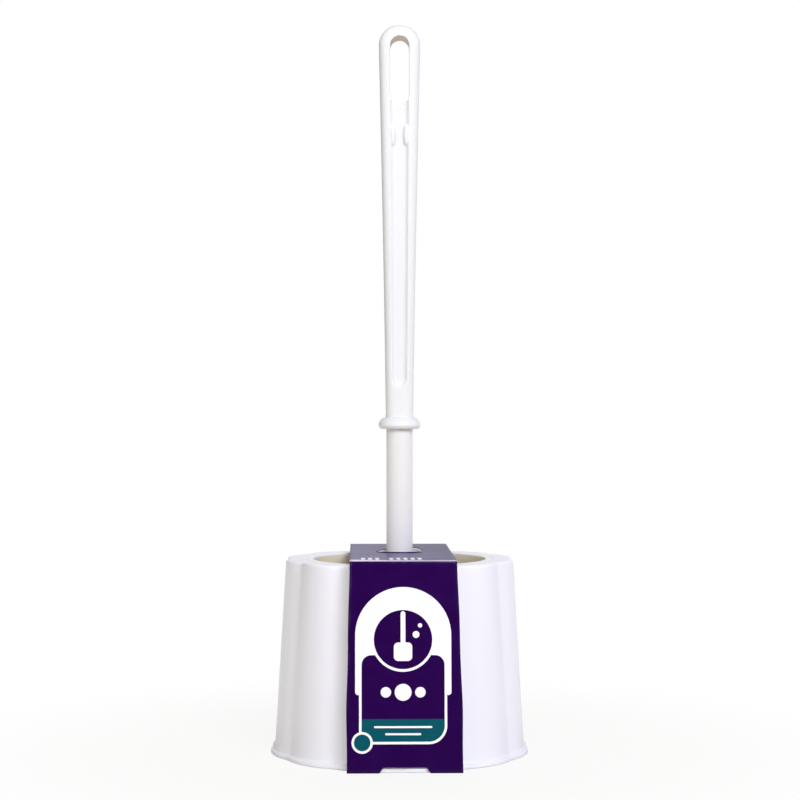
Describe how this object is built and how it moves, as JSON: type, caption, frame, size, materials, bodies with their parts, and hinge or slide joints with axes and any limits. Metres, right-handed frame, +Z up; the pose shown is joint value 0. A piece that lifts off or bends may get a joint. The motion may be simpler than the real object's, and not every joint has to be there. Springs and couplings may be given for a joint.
{
  "type": "toilet brush with holder",
  "caption": "Long-handled toilet brush standing in a lobed tapered holder, with a folded card band that slides up the stem.",
  "frame": {"origin": "centre of the holder's base, on the floor", "axes": "+Z up along the stem, front of the card band towards -Y"},
  "size_m": [0.1356, 0.1403, 0.385],
  "materials": {
    "shell_plastic": "glossy white moulded plastic",
    "cup_plastic": "satin warm white moulded plastic",
    "printed_card": "coated purple card with plain printed panels",
    "grip_plastic": "glossy white moulded plastic",
    "stem_plastic": "satin white plastic rod",
    "core_plastic": "white moulded plastic",
    "bristle": "white plastic filaments",
    "anchor_wire": "flat drawn wire"
  },
  "bodies": {
    "holder": {"outer_shell": "shell_plastic", "drip_cup": "cup_plastic"},
    "brush": {"handle": "grip_plastic", "stem": "stem_plastic", "head_core": "core_plastic", "tufts_ring_1": "bristle", "tufts_ring_2": "bristle", "tufts_ring_3": "bristle", "tufts_ring_4": "bristle", "tufts_ring_5": "bristle", "tufts_ring_6": "bristle", "tufts_ring_7": "bristle", "tufts_end_outer": "bristle", "tufts_end_inner": "bristle", "tuft_anchors": "anchor_wire"},
    "sleeve": {"card_band": "printed_card"}
  },
  "joints": [
    {"name": "brush_lift", "type": "slide", "parent": "holder", "child": "brush", "axis": [0, 0, 1], "range_m": [0, 0.12]},
    {"name": "sleeve_slide", "type": "slide", "parent": "brush", "child": "sleeve", "axis": [0, 0, 1], "range_m": [0, 0.062]}
  ]
}
